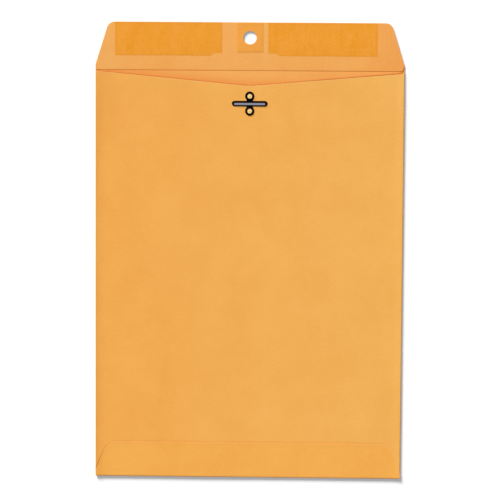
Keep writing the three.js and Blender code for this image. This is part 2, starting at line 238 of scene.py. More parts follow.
class ClaspSettings(bpy.types.PropertyGroup):
    """The steel clasp"""

    # Painted reflections: the dark colour stands for the dark reflections that the steel shows, and
    # the bright one is a painted reflection along the ribs
    dark: colour("Dark", "Colour of the steel in its hollows", "0c0809")
    bright: colour("Bright", "Colour of the steel along the ribs", "96949f")
    tin: colour("Tin", "Colour of the clean tin inside the eyelets", "f6f2ea")
    sheet: size("Sheet", "Thickness of the steel", 0.22 * MM)
    bore: size("Bore", "Diameter of an eyelet's bore", 3.4 * MM)
    neck: size("Neck", "Width of the necks between bar and eyelets", 4.8 * MM)
    clinch: size("Clinch", "Width of the flange that is clinched inside", 0.7 * MM)
    rib_rise: size("Rib rise", "Height of a prong's rib", 0.4 * MM)
    rib_foot: size("Rib foot", "Half the width of the rib at its foot", 1.5 * MM)
    rib_crest: size("Rib crest", "Half the width of the rib at its crest", 0.9 * MM)
    rib_shift: size("Rib shift", "How far off the prong's middle the rib is pressed", 0.3 * MM)
    painted_reflection_edge: size("Reflection edge", "Width in which the rubbed band fades", 0.4 * MM)
    painted_reflection_end: size("Reflection end", "How far it stops short of the rib's end", 0.45 * MM)
    narrower: size("Narrower", "What the pressed rib draws in of each side of a prong", 0.06 * MM)
    bend: size("Bend", "Where a prong bends, from the clasp's middle", 2 * MM)
    bend_half: size("Bend half width", "Half the length that bends", 0.8 * MM)
    cell: size("Cell", "Size of the net that the steel is drawn with", 0.15 * MM)


class StudioSettings(bpy.types.PropertyGroup):
    """Camera and light"""

    lens: FloatProperty(name="Lens", description="Focal length in mm", default=191.1)
    distance: size("Distance", "From the camera to the envelope", 1.977)
    aim_x: size("Aim X", "Where the camera looks", 0.85 * MM)
    aim_y: size("Aim Y", "Where the camera looks", 19.04 * MM)
    tilt: turn("Tilt", "Camera's turn about X", -5.8)
    lean: turn("Lean", "Camera's turn about Y", 1.58)
    roll: turn("Roll", "Camera's turn about Z", 0.34)
    lamp_strength: FloatProperty(name="Lamp", description="Strength of the lamp", default=4.94)
    lamp_tint: FloatVectorProperty(
        name="Lamp tint", description="Colour of the lamp", default=(1.04, 1.015, 0.96)
    )
    lamp_height: turn("Lamp height", "How high the lamp stands", 24)
    lamp_side: turn("Lamp side", "How far round to the left it stands", 27)
    lamp_spread: turn("Lamp spread", "How large the soft lamp looks", 20)
    table_drop: size("Table drop", "How far the bowed sheet keeps off the table", 0.5 * MM)
    sky: FloatProperty(name="Sky", description="Light from all round", default=0.36)
    sky_tint: FloatVectorProperty(
        name="Sky tint", description="Colour of the light from all round", default=(0.93, 0.98, 1.07)
    )
    table: FloatProperty(name="Table", description="Whiteness of the table", default=0.95)
    table_glow: FloatProperty(
        name="Table glow", description="Light added to the table for the camera", default=0.08
    )


def pick(*pieces):
    """Selects these objects alone, and makes the last one active."""
    bpy.ops.object.select_all(action="DESELECT")
    for piece in pieces:
        piece.select_set(True)
        bpy.context.view_layer.objects.active = piece


def choose(piece, kind, test):
    """In edit mode, selects the VERT, EDGE or FACE parts whose middle passes the test."""
    bpy.ops.object.mode_set(mode="EDIT")
    bpy.ops.mesh.select_mode(type=kind)
    bpy.ops.mesh.select_all(action="DESELECT")
    mesh = bmesh.from_edit_mesh(piece.data)
    for part in {"VERT": mesh.verts, "EDGE": mesh.edges, "FACE": mesh.faces}[kind]:
        corners = [part] if kind == "VERT" else part.verts
        if test(sum((v.co for v in corners), Vector()) / len(corners)):
            part.select_set(True)
    bmesh.update_edit_mesh(piece.data)


def done(piece):
    bpy.ops.object.mode_set(mode="OBJECT")
    return piece


def grid(name, low, high, z, cell):
    """A flat net of about that cell, from corner low to corner high at height z."""
    width, length = high[0] - low[0], high[1] - low[1]
    pick()
    bpy.ops.mesh.primitive_grid_add(
        x_subdivisions=max(1, round(width / cell)),
        y_subdivisions=max(1, round(length / cell)),
        size=1,
        location=((low[0] + high[0]) / 2, (low[1] + high[1]) / 2, z),
    )
    piece = bpy.context.object
    piece.name = piece.data.name = name
    piece.scale = (width, length, 1)
    bpy.ops.object.transform_apply(location=True, rotation=True, scale=True)
    return piece


def everywhere(middle):
    return True


def score(piece, point, normal, test=everywhere):
    """Adds an edge line across the faces that pass the test, where a plane cuts them."""
    choose(piece, "FACE", test)
    bpy.ops.mesh.bisect(plane_co=point, plane_no=normal, threshold=CUT)
    done(piece)


def drop(piece, test):
    """Takes away the faces that pass the test."""
    choose(piece, "FACE", test)
    bpy.ops.mesh.delete(type="FACE")
    done(piece)


def right_of(start, end):
    return Vector((end[1] - start[1], start[0] - end[0], 0)).normalized()


def trim_convex(piece, points):
    """Cuts off what lies right of each line from point to point, all across the sheet."""
    for start, end in zip(points, points[1:]):
        choose(piece, "FACE", everywhere)
        bpy.ops.mesh.bisect(
            plane_co=(*start, 0), plane_no=right_of(start, end), clear_outer=True, threshold=CUT
        )
        done(piece)


def trim_top(piece, points, bands=()):
    """Cuts a sheet along points that run from its right to its left, and scores bands below."""
    lines = list(zip(points, points[1:]))
    for x, _ in points[1:-1]:
        score(piece, (x, 0, 0), (1, 0, 0))
    for start, end in lines:
        up = right_of(start, end)
        for band in (0, *bands):
            place = Vector((*start, 0)) - up * band
            score(piece, place, up, lambda middle: end[0] < middle.x < start[0])
    drop(piece, lambda middle: any(
        end[0] < middle.x < start[0] and (middle - Vector((*start, 0))).dot(right_of(start, end)) > 0
        for start, end in lines
    ))


def refine(piece, cuts, test):
    """Divides the faces that pass the test into a finer net."""
    choose(piece, "FACE", test)
    bpy.ops.mesh.subdivide(number_cuts=cuts)
    done(piece)


def outline(corners, steps=8):
    """Points along corners (x, y, radius); the first and the last stay sharp."""
    points = []
    for i, (x, y, radius) in enumerate(corners):
        corner = Vector((x, y))
        if not radius:
            points.append(corner)
            continue
        back = (Vector(corners[i - 1][:2]) - corner).normalized()
        ahead = (Vector(corners[i + 1][:2]) - corner).normalized()
        half = back.angle(ahead) / 2
        middle = corner + (back + ahead).normalized() * radius / math.sin(half)
        start = corner + back * radius / math.tan(half) - middle
        sweep = math.copysign(math.pi - 2 * half, back.cross(ahead) * -1)
        for k in range(steps + 1):
            a = sweep * k / steps
            points.append(middle + Vector((
                start.x * math.cos(a) - start.y * math.sin(a),
                start.x * math.sin(a) + start.y * math.cos(a),
            )))
    return points


def roll(piece, on_edge, centre, axis, steps):
    """Rolls the sheet half round at one edge, as a fold does."""
    choose(piece, "EDGE", on_edge)
    bpy.ops.mesh.spin(steps=steps, angle=math.pi, center=centre, axis=axis)
    done(piece)


def raise_by(piece, rise):
    """Lifts each vertex by what rise gives for its place."""
    for vertex in piece.data.vertices:
        vertex.co.z += rise(vertex.co)


def modify(piece, kind, **settings):
    """Adds one modifier and applies it."""
    pick(piece)
    modifier = piece.modifiers.new(kind.title(), kind)
    for name, value in settings.items():
        setattr(modifier, name, value)
    bpy.ops.object.modifier_apply(modifier=modifier.name)


def cut_round(piece, x, y, radius, steps=64):
    """Punches a round hole through a piece that has its thickness, in the back or in the flap."""
    bpy.ops.mesh.primitive_cylinder_add(
        vertices=steps, radius=radius, depth=20 * PAPER, location=(x, y, 0)
    )
    punch = bpy.context.object
    punch.location.z = BACK_Z if piece.data.vertices[0].co.z > BACK_Z / 2 else FRONT_Z
    modify(piece, "BOOLEAN", operation="DIFFERENCE", object=punch, solver="EXACT")
    bpy.data.objects.remove(punch)


def thicken(piece, thickness, *materials):
    """Gives a sheet its thickness; the second material, if any, goes on its lower face."""
    for material in materials:
        piece.data.materials.append(material)
    modify(
        piece,
        "SOLIDIFY",
        thickness=thickness,
        offset=0,
        use_even_offset=True,
        material_offset=len(materials) - 1,
    )


def smooth(piece, degrees=35):
    pick(piece)
    bpy.ops.object.shade_smooth_by_angle(angle=math.radians(degrees))


def hand_over(piece, body, slot, *nodes):
    """Lets a finished piece ride on its body in place of the frame's nodes."""
    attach(piece, body)
    if nodes:
        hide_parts(*nodes)


def eased(share):
    """The share from 0 to 1, slow to start and to end."""
    share = min(max(share, 0), 1)
    return share * share * (3 - 2 * share)


def hump(distance, width):
    """1 at no distance, and about a third at the width."""
    return math.exp(-((distance / width) ** 2))


def from_eyelet(place):
    """The distance from a place to the nearer eyelet's axis."""
    return math.hypot(place.x, abs(place.y - CLASP_Y) - EYELET_OFFSET)


def from_line(points, x, y):
    """The distance from a place to a line of points."""
    spot = Vector((x, y))
    nearest = math.inf
    for start, end in zip(points, points[1:]):
        along = end - start
        share = min(max((spot - start).dot(along) / along.length_squared, 0), 1)
        nearest = min(nearest, (start + along * share - spot).length)
    return nearest


def mouth_y(paper, x):
    """How high up the edge of the pocket's mouth lies at x."""
    flat, steep = LAP_X / 2, EDGE_X - paper.throat_end_width
    share = min(max((abs(x) - flat) / (steep - flat), 0), 1)
    return FOLD_Y - paper.throat_depth + share * (paper.throat_depth - paper.throat_end_depth)


def back_rise(paper, x, y):
    """How much higher the back stands than a flat sheet: its rims, its waves and its mouth."""
    rim = paper.rim_height * hump(EDGE_X - abs(x), paper.rim_width)
    wave = paper.wave_height * noise.noise((x / paper.wave_length, y / paper.wave_length, 0))
    free = 1 - paper.crease_hold * (1 - eased((FOLD_Y - y) / paper.crease_run))
    free *= 1 - hump(math.hypot(x, y - CLASP_Y), paper.clasp_hold)
    gape = paper.gape * math.sin(math.pi * min(abs(x) / EDGE_X, 1)) ** 2
    gape *= hump(mouth_y(paper, x) - y, paper.gape_width)
    return (rim + wave) * free + gape


def layer_share(z, top):
    """0 in the front panel, 1 in the layer at height top, and between them in a fold."""
    return min(max((z - FRONT_Z) / (top - FRONT_Z), 0), 1)


def flap_rise(flap, x, y):
    """The open flap stands a little off the table, because its crease wants to close."""
    return flap.lift * eased((y - FOLD_Y - flap.crease) / flap.lift_run)


def tones(tint, depth, blue=3.6):
    """The tint a little darker and a little paler. What yellows a sheet deepens most in blue."""
    return [
        [min(c * (1 + sign * depth * k), 1) for c, k in zip(tint, (0.75, 1.7, blue))] + [1]
        for sign in (-1, 1)
    ]


def add_node(tree, kind, inputs=None, **settings):
    """Adds a node with its settings; each input is a value or another node's output."""
    node = tree.nodes.new(kind)
    for name, value in settings.items():
        setattr(node, name, value)
    for socket, value in (inputs or {}).items():
        if isinstance(value, bpy.types.NodeSocket):
            tree.links.new(value, node.inputs[socket])
        else:
            node.inputs[socket].default_value = value
    return node


def new_material(name):
    """A material with its nodes cleared, or None and the old one if it is already made."""
    material = bpy.data.materials.get(name)
    if material:
        return material, None
    material = bpy.data.materials.new(name)
    material.use_nodes = True
    material.node_tree.nodes.clear()
    return material, material.node_tree


def sheet_noise(tree, width, length, detail, seed, roughness=0.5):
    """Noise of that grain in metres, different in each layer of the folded sheet."""
    place = add_node(tree, "ShaderNodeTexCoord").outputs["Object"]
    # The layers lie 0.2 mm apart, so heights are stretched to give each one its own clouds
    scaled = add_node(tree, "ShaderNodeMapping", {
        "Vector": place,
        "Location": (seed, seed, 0),
        "Scale": (1 / width, 1 / length, 1000),
    }).outputs["Vector"]
    return add_node(tree, "ShaderNodeTexNoise", {
        "Vector": scaled, "Scale": 1, "Detail": detail, "Roughness": roughness,
    }).outputs["Fac"]


def spread(tree, value, low, high, out_low=0, out_high=1):
    return add_node(tree, "ShaderNodeMapRange", {
        "Value": value, "From Min": low, "From Max": high, "To Min": out_low, "To Max": out_high,
    }).outputs["Result"]


def tinted(tree, factor, below, above):
    """A mix of two colours by a factor."""
    return add_node(
        tree, "ShaderNodeMix", {0: factor, 6: below, 7: above}, data_type="RGBA"
    ).outputs[2]


def painted(tree, name):
    return add_node(tree, "ShaderNodeAttribute", attribute_name=name).outputs["Fac"]


def kraft_paper(name, paper, tint, roughness=0.82):
    """Kraft paper, machine finished: clouds of long brown fibres and a dark shive here and there."""
    material, tree = new_material(name)
    if tree is None:
        return material
    # The sheet's clouds run from 45 mm down to 1 mm. Its fibres are too thin to show one by one,
    # so what shows is flocks of them, 0.4 mm wide and 1.5 mm long, that lie along the web
    clouds = sheet_noise(tree, 38 * MM, 45 * MM, 6, 3, 0.72)
    fibres = sheet_noise(tree, 0.4 * MM, 1.5 * MM, 2, 17)
    shives = sheet_noise(tree, 0.2 * MM, 0.8 * MM, 0, 41)
    blend = add_node(tree, "ShaderNodeMath", {0: clouds, 1: fibres}, operation="ADD").outputs[0]
    dark, pale = tones(tint, paper.mottle)
    sheet = tinted(tree, spread(tree, blend, 0.6, 1.4), dark, pale)
    shive = spread(tree, shives, 0.72, 0.8, 0, 0.2)
    sheet = tinted(tree, shive, sheet, tones(tint, 0.3)[0])
    # Painted light and shade that drifts slowly across a sheet: deeper on one side, yellower on the
    # other
    light_drift = tinted(
        tree, spread(tree, painted(tree, "light_drift"), -1, 1), (1, 0.95, 0.91, 1), (0.99, 1.035, 1.11, 1)
    )
    sheet = add_node(
        tree, "ShaderNodeMix", {0: 1.0, 6: sheet, 7: light_drift}, data_type="RGBA", blend_type="MULTIPLY"
    ).outputs[2]
    # Where the mouth's light has gone to and fro between two kraft faces it is deeper
    sheet = tinted(tree, painted(tree, "mouth"), sheet, [*paper.mouth, 1])
    # Paler bared fibres and painted light: the lit bores, highlights on cut edges, the pale right
    # fold
    sheet = tinted(tree, painted(tree, "scuff_and_painted_light"), sheet, [*paper.scuff_and_painted_light, 1])
    # Painted shade in grooves, gaps, slits and folds, with the crease's own darker fibres
    sheet = tinted(tree, painted(tree, "crease"), sheet, [*paper.crease, 1])
    bump = add_node(tree, "ShaderNodeBump", {
        "Height": blend, "Strength": 0.4, "Distance": 0.02 * MM,
    }).outputs["Normal"]
    shader = add_node(tree, "ShaderNodeBsdfPrincipled", {
        "Base Color": sheet, "Roughness": roughness, "Specular IOR Level": 0.25, "Normal": bump,
    })
    add_node(tree, "ShaderNodeOutputMaterial", {"Surface": shader.outputs[0]})
    return material


def dried_gum(name, paper):
    """Dried dextrin gum: a thin amber film, half glossy, laid on by a roller in uneven bands."""
    material, tree = new_material(name)
    if tree is None:
        return material
    bands = sheet_noise(tree, 6 * MM, 16 * MM, 4, 7, 0.6)
    grain = sheet_noise(tree, 0.9 * MM, 0.9 * MM, 3, 29)
    blend = add_node(tree, "ShaderNodeMath", {0: bands, 1: grain}, operation="ADD").outputs[0]
    thin, thick = tones(paper.gum, paper.mottle, 12)
    film = tinted(tree, spread(tree, blend, 0.6, 1.4), thin, thick)
    # The film dries thicker and darker along its edge
    film = tinted(tree, painted(tree, "edge"), film, tones(paper.gum, 0.06)[0])
    bump = add_node(tree, "ShaderNodeBump", {
        "Height": blend, "Strength": 0.5, "Distance": 0.02 * MM,
    }).outputs["Normal"]
    shader = add_node(tree, "ShaderNodeBsdfPrincipled", {
        "Base Color": film,
        "Roughness": spread(tree, bands, 0.3, 0.7, 0.56, 0.7),
        "Specular IOR Level": 0.2,
        "Normal": bump,
    })
    add_node(tree, "ShaderNodeOutputMaterial", {"Surface": shader.outputs[0]})
    return material


def tinned_steel(name, clasp):
    """Tinned steel strip, stamped: painted dark for its dark reflections, and a painted reflection on
    the ribs.
    """
    material, tree = new_material(name)
    if tree is None:
        return material
    place = add_node(tree, "ShaderNodeTexCoord").outputs["Object"]
    # Drawing lines of the press, 0.15 mm apart, run along the bar
    scaled = add_node(tree, "ShaderNodeMapping", {
        "Vector": place, "Scale": (1 / (2 * MM), 1 / (0.15 * MM), 1 / (0.3 * MM)),
    }).outputs["Vector"]
    lines = add_node(
        tree, "ShaderNodeTexNoise", {"Vector": scaled, "Scale": 1, "Detail": 2}
    ).outputs["Fac"]
    # The painted reflection along the ribs' crests, streaked by the drawing lines
    painted_light = add_node(tree, "ShaderNodeMath", {
        0: painted(tree, "painted_reflection"), 1: spread(tree, lines, 0.3, 0.7, 0.85, 1),
    }, operation="MULTIPLY").outputs[0]
    steel = tinted(tree, painted_light, [*clasp.dark, 1], [*clasp.bright, 1])
    shader = add_node(tree, "ShaderNodeBsdfPrincipled", {
        "Base Color": tinted(tree, painted(tree, "tin"), steel, [*clasp.tin, 1]),
        "Metallic": 1.0,
        "Roughness": spread(tree, painted_light, 0, 1, 0.42, 0.34),
    })
    add_node(tree, "ShaderNodeOutputMaterial", {"Surface": shader.outputs[0]})
    return material


def paint(piece, name, value_at):
    """Stores a value at each vertex, for the piece's material."""
    attribute = piece.data.attributes.new(name, "FLOAT", "POINT")
    for vertex in piece.data.vertices:
        attribute.data[vertex.index].value = value_at(vertex.co)


def throat_line(paper, side):
    """The top edge of one side panel, from its right to its left."""
    throat_y = FOLD_Y - paper.throat_depth
    end_y = FOLD_Y - paper.throat_end_depth - max(side, 0) * paper.throat_slack
    corners = [
        (-side * LAP_X, throat_y - 3 * paper.throat_corner, 0),
        (-side * LAP_X, throat_y, paper.throat_corner),
        (side * LAP_X / 2, throat_y, paper.throat_middle),
        (side * (EDGE_X - paper.throat_end_width), end_y, 0),
        (side * SIDE_FOLD_X, FOLD_Y, 0),
    ]
    points = outline(corners)[1:]
    return points[::-1] if side > 0 else points


def mouth_paint(paper):
    """How far the mouth's light deepens the inner face at a place, and how dark the crack's painted
    shade is.
    """
    edges = [throat_line(paper, side) for side in (-1, 1)]
    low_y = FOLD_Y - paper.throat_depth - paper.cell
    deepest, right_loss, right_run = 0.95, 0.5, 40 * MM
    left_crack, right_gain, closing_run = 0.6, 0.4, 8 * MM

    def from_mouth(place):
        if place.y < low_y:
            return EDGE_X
        return min(from_line(edge, place.x, place.y) for edge in edges)

    def deepened(place):
        # The right half of the mouth looks away from the deeper light
        share = deepest - right_loss * eased(place.x / right_run)
        return share * hump(from_mouth(place), paper.mouth_width)

    def crack_shade(place):
        # The crack's painted shade is darker to the right, and closes up at its left end
        share = left_crack + right_gain * eased(place.x / EDGE_X)
        share *= eased((place.x + EDGE_X) / closing_run)
        return share * hump(from_mouth(place), paper.crack_shade)

    return deepened, crack_shade


class ENVELOPE_OT_front_panel(bpy.types.Operator):
    """The address side, seen from inside in the throat"""

    bl_idname = "envelope.front_panel"
    bl_label = "Front Panel"

    def execute(self, context):
        paper, flap = context.scene.envelope_paper, context.scene.envelope_flap
        low = (-SIDE_FOLD_X, front_low.y)
        high = (SIDE_FOLD_X, FOLD_Y - flap.crease)
        piece = grid("front_panel_sheet", low, high, FRONT_Z, paper.cell)
        throat_y = FOLD_Y - paper.throat_depth
        refine(piece, 5, lambda middle: middle.y > throat_y - paper.cell)
        thicken(
            piece,
            PAPER,
            kraft_paper("kraft_inside", paper, paper.inside),
            kraft_paper("kraft_outside", paper, paper.outside),
        )
        deepened, crack_shade = mouth_paint(paper)
        paint(piece, "mouth", deepened)
        # Painted shade in the crack under the mouth's edge
        paint(piece, "crease", crack_shade)
        smooth(piece)
        hand_over(piece, "envelope", "kraft_paper", "front_panel")
        return {"FINISHED"}


class ENVELOPE_OT_side_panels(bpy.types.Operator):
    """The two halves of the back, each with its rolled side fold"""

    bl_idname = "envelope.side_panels"
    bl_label = "Side Panels"

    def side_panel(self, paper, side, name, *nodes):
        ends = sorted([-side * LAP_X, side * SIDE_FOLD_X])
        piece = grid(name, (ends[0], side_low.y), (ends[1], FOLD_Y), BACK_Z, paper.cell)
        for distance in RIM_LINES:
            score(piece, (side * (EDGE_X - distance * MM), 0, 0), (1, 0, 0))
        for x in (paper.seam_glue, LAP_X - 2 * paper.lip, LAP_X - paper.lip, LAP_X):
            score(piece, (x, 0, 0), (1, 0, 0))
        edge = throat_line(paper, side)
        trim_top(piece, edge, bands=(paper.lip, 2 * paper.lip))
        flap_edge = bottom_outline(paper)
        for row in (0, 0.5, 1, 1.5, 2):
            score(piece, (0, bottom_high.y + row * paper.bottom_shade_width, 0), (0, 1, 0))
        if side < 0:
            refine(piece, 4, lambda p: p.y < bottom_high.y and by_slit(paper, flap_edge, p))
            refine(piece, 5, lambda p: from_eyelet(p) < EYELET_HOLE + paper.cell / 2)
        radius = (BACK_Z - FRONT_Z) / 2
        roll(
            piece,
            lambda middle: abs(middle.x - side * SIDE_FOLD_X) < MERGE,
            (side * SIDE_FOLD_X, 0, FRONT_Z + radius),
            (0, -side, 0),
            paper.roll_steps,
        )

        def rise(place):
            seam = 0
            if side > 0:
                run = (place.x - paper.seam_glue) / paper.seam_run
                seam = paper.seam_drop * (eased(run) - 1)
            # The upper sheet, pierced by the eyelets, stands up in their bores
            plug = (side < 0) * paper.plug_rise * (1 - eased(from_eyelet(place) / EYELET_HOLE))
            rise = back_rise(paper, place.x, place.y) + seam + plug
            return layer_share(place.z, BACK_Z) * rise

        raise_by(piece, rise)
        thicken(
            piece,
            PAPER,
            kraft_paper("kraft_outside", paper, paper.outside),
            kraft_paper("kraft_inside", paper, paper.inside),
        )
        if side > 0:
            for end in (-1, 1):
                cut_round(piece, 0, CLASP_Y + end * EYELET_OFFSET, EYELET_HOLE, 40)

        # Paler bared fibres and painted light: the light in the eyelets' bores, highlights along the
        # mouth's and the seam's cut edges, where the seam's is painted over its shadow, and the lit
        # right fold
        def scuff_and_painted_light(place):
            if side < 0 and from_eyelet(place) < EYELET_HOLE:
                return PIERCED_AND_LIT
            mouth = 0
            if place.y > edge[len(edge) // 2].y - paper.cell:
                mouth = CUT_MOUTH_AND_LIT * hump(from_line(edge, place.x, place.y), paper.lip)
            if side < 0:
                return max(mouth, CUT_SEAM_AND_LIT * hump(LAP_X - place.x, paper.lip))
            # Painted light on the right fold's rim, down from the crease
            painted_light = hump(EDGE_X - place.x, paper.painted_light_width)
            painted_light *= hump(place.y - FOLD_Y, paper.painted_light_run)
            return max(mouth, paper.painted_light * painted_light)

        far_above, under, deepening = 2.5, 0.1, 1.6

        # Painted shade on the left fold, by the bottom flap's edge and in its slit
        def crease(place):
            fold = 0
            if side < 0:
                inward = EDGE_X + place.x
                shade = paper.crease_shade * hump(inward, paper.crease_shade_width)
                shade *= hump(place.y - FOLD_Y, paper.crease_shade_run)
                fold = max(paper.fold_shade * hump(inward, paper.fold_shade_width), shade)
            left = side < 0 and by_slit(paper, flap_edge, place)
            above = (place.y - bottom_high.y) / paper.bottom_shade_width
            # Away from the bottom flap's edge, and under the flap, there is no shade of it
            if above > far_above or (above < -under and not left):
                return fold
            distance = from_line(flap_edge, place.x, place.y)
            # Painted shade along the bottom flap's cut edge
            pressed = paper.bottom_shade * hump(distance, paper.bottom_shade_width)
            # The slit's painted shadow darkens down to the flap's foot, and is full dark in its last
            # third
            depth = left * deepening * (bottom_high.y - place.y) / (bottom_high.y + FOLD_Y)
            return max(fold, pressed, min(depth, 1) * hump(distance, paper.bottom_slit))

        paint(piece, "scuff_and_painted_light", scuff_and_painted_light)
        paint(piece, "crease", crease)
        # Painted light and shade: deeper to the left, yellower to the right, and a painted highlight
        # below the mouth's edge
        pale, pale_run = 0.4, 6 * MM
        paint(piece, "light_drift", lambda place: (
            place.x / EDGE_X + pale * hump(mouth_y(paper, place.x) - place.y, pale_run)
        ))
        smooth(piece)
        hand_over(piece, "envelope", "kraft_paper", *nodes)

    def execute(self, context):
        paper = context.scene.envelope_paper
        self.side_panel(paper, -1, "left_side_sheet", "left_fold", "left_side_panel")
        self.side_panel(paper, 1, "right_side_sheet", "right_fold", "right_side_panel")
        return {"FINISHED"}


def bottom_outline(paper):
    """The cut edge of the bottom flap, from its right foot to its left one."""
    slope = math.tan(paper.bottom_slope)
    foot_y = -FOLD_Y + paper.bottom_shoulder
    top_x = bottom_high.x - (bottom_high.y - foot_y) * slope
    return outline([
        (bottom_high.x, foot_y, 0),
        (top_x, bottom_high.y, paper.bottom_radius),
        (-top_x, bottom_high.y, paper.bottom_radius),
        (-bottom_high.x, foot_y, 0),
    ])


def by_slit(paper, flap_edge, place):
    """Whether a place lies by the left end of the bottom flap, which stands up a little."""
    return place.x < flap_edge[-1].x + paper.bottom_slit_run


class ENVELOPE_OT_bottom_flap(bpy.types.Operator):
    """The flap that is rolled up over the back and pasted down"""

    bl_idname = "envelope.bottom_flap"
    bl_label = "Bottom Flap"

    def execute(self, context):
        paper = context.scene.envelope_paper
        low, high = (bottom_low.x, bottom_low.y), (bottom_high.x, bottom_high.y)
        piece = grid("bottom_flap_sheet", low, high, BOTTOM_FLAP_Z, paper.fine_cell)
        edge = bottom_outline(paper)
        trim_convex(piece, edge)
        radius = (BOTTOM_FLAP_Z - FRONT_Z) / 2
        roll(
            piece,
            lambda middle: abs(middle.y - low[1]) < MERGE,
            (0, low[1], FRONT_Z + radius),
            (-1, 0, 0),
            paper.roll_steps,
        )

        def rise(place):
            curl = paper.bottom_lift * hump(from_line(edge, *place.xy), paper.bottom_lift_width)
            curl *= eased((place.y - low[1]) / paper.bottom_lift_run)
            if by_slit(paper, edge, place):
                curl *= 2
            share = layer_share(place.z, BOTTOM_FLAP_Z)
            return share * (back_rise(paper, place.x, place.y) + curl)

        raise_by(piece, rise)
        thicken(
            piece,
            PAPER,
            kraft_paper("kraft_bottom", paper, paper.bottom),
            kraft_paper("kraft_inside", paper, paper.inside),
        )
        # Paler bared fibres and a painted highlight along the bottom flap's cut edge
        paint(piece, "scuff_and_painted_light", lambda p: CUT_BOTTOM_AND_LIT * hump(from_line(edge, *p.xy), paper.lip))
        smooth(piece)
        hand_over(piece, "envelope", "kraft_paper", "bottom_fold", "bottom_flap")
        return {"FINISHED"}


class ENVELOPE_OT_closure_flap(bpy.types.Operator):
    """The closure flap, the strip of sheet along its crease, and its shoulder tabs"""

    bl_idname = "envelope.closure_flap"
    bl_label = "Closure Flap"

    def papers(self, paper):
        return (
            kraft_paper("kraft_inside", paper, paper.inside),
            kraft_paper("kraft_outside", paper, paper.outside),
        )

    def tab_line(self, paper, flap, side):
        """The edge of a shoulder tab, from the flap's side to the crease."""
        start = Vector((side * EDGE_X, FOLD_Y + flap.shoulder))
        pull = Vector((side * (EDGE_X - paper.throat_end_width / 4), FOLD_Y + flap.shoulder / 6))
        end = Vector((side * (EDGE_X - paper.throat_end_width), FOLD_Y))
        steps = 10
        shares = [k / steps for k in range(steps + 1)]
        return [start * (1 - t) ** 2 + pull * 2 * t * (1 - t) + end * t * t for t in shares]

    def near_crease(self, place):
        """Painted shade a little above the crease, where the flap tilts up from it, and darker at its
        right end.
        """
        dark, reach = 0.08, 3 * MM
        dark_end, end_x, end_width = 0.06, 102 * MM, 12 * MM
        tilt_shade = dark * math.exp(-abs(place.y - FOLD_Y) / reach)
        return tilt_shade + dark_end * hump(place.x - end_x, end_width)

    def light_drift(self, place):
        """Painted light and shade: yellower at the flap's left end, redder at its right end, with a
        pale streak.
        """
        yellow, left_x, red, right_x, end_width = 0.95, -107 * MM, 1.6, 103 * MM, 15 * MM
        streak, streak_x, streak_width, streak_run = 1.2, 12 * MM, 4 * MM, 20 * MM
        ends = yellow * hump(place.x - left_x, end_width) - red * hump(place.x - right_x, end_width)
        streak *= hump(place.x - streak_x, streak_width)
        return ends + streak * eased((place.y - FOLD_Y) / streak_run)

    def flap_sheet(self, paper, flap):
        low = (-EDGE_X, FOLD_Y + flap.crease)
        piece = grid("closure_flap_sheet", low, (EDGE_X, FLAP_TOP_Y), FRONT_Z, flap.cell)
        shoulder_y = FOLD_Y + flap.shoulder
        top_x = EDGE_X - (FLAP_TOP_Y - shoulder_y) * math.tan(flap.slope)
        corner = (EDGE_X - 3 * paper.throat_end_width, FOLD_Y + 2 * flap.shoulder)
        refine(piece, 4, lambda middle: middle.x > corner[0] and middle.y < corner[1])
        trim_convex(piece, outline([
            (EDGE_X, shoulder_y, 0),
            (top_x, FLAP_TOP_Y, flap.radius),
            (-top_x, FLAP_TOP_Y, flap.radius),
            (-EDGE_X, shoulder_y, 0),
        ]))
        raise_by(piece, lambda place: flap_rise(flap, place.x, place.y))
        thicken(piece, PAPER, *self.papers(paper))
        cut_round(piece, 0, FLAP_TOP_Y - flap.hole_from_edge, flap.hole / 2)
        tab = self.tab_line(paper, flap, 1)
        fading = 0.4

        # Painted shade above the crease, and a painted shadow in the slit beside the right tab
        def crease(place):
            near = self.near_crease(place)
            outer = place.z < FRONT_Z + flap_rise(flap, place.x, place.y)
            if place.x < corner[0] or outer:
                return near
            share = 1 - fading * (place.y - FOLD_Y) / flap.shoulder
            return max(near, share * hump(from_line(tab, *place.xy), flap.slit))

        paint(piece, "crease", crease)
        paint(piece, "light_drift", self.light_drift)
        smooth(piece)
        hand_over(piece, "flap", "kraft_paper", "closure_flap")

    def crease_strip(self, paper, flap):
        low = (-EDGE_X, FOLD_Y - flap.crease)
        high = (EDGE_X, FOLD_Y + flap.crease)
        piece = grid("flap_crease", low, high, FRONT_Z, flap.strip_cell)
        rows = 12
        for row in range(1, rows):
            score(piece, (0, low[1] + (high[1] - low[1]) * row / rows, 0), (0, 1, 0))
        for side in (-1, 1):
            score(piece, (side * SIDE_FOLD_X, 0, 0), (1, 0, 0))
        # The side folds begin below the crease
        drop(piece, lambda middle: abs(middle.x) > SIDE_FOLD_X and middle.y < FOLD_Y)
        thicken(piece, PAPER, *self.papers(paper))

        def pressed(place):
            """The crease is pressed into the inner face only."""
            return -flap.groove * hump(place.y - FOLD_Y, flap.groove_width) * (place.z > FRONT_Z)

        raise_by(piece, pressed)
        tab = self.tab_line(paper, flap, 1)
        deepened, crack_shade = mouth_paint(paper)
        dark, more_at_ends, shade_width = 0.85, 0.15, 1.2 * flap.groove_width

        # The crease is painted dark for its crushed fibres and for the shade in its groove, with the
        # crack's painted shade below it and the slit's painted shadow by the right tab
        def crease(place):
            groove = dark + more_at_ends * (place.x / EDGE_X) ** 2
            groove *= hump(place.y - FOLD_Y, shade_width)
            near = crack_shade(place) if place.y < FOLD_Y else self.near_crease(place)
            if place.x < 0 or place.z < FRONT_Z:
                return max(groove, near)
            return max(groove, near, hump(from_line(tab, *place.xy), flap.slit))

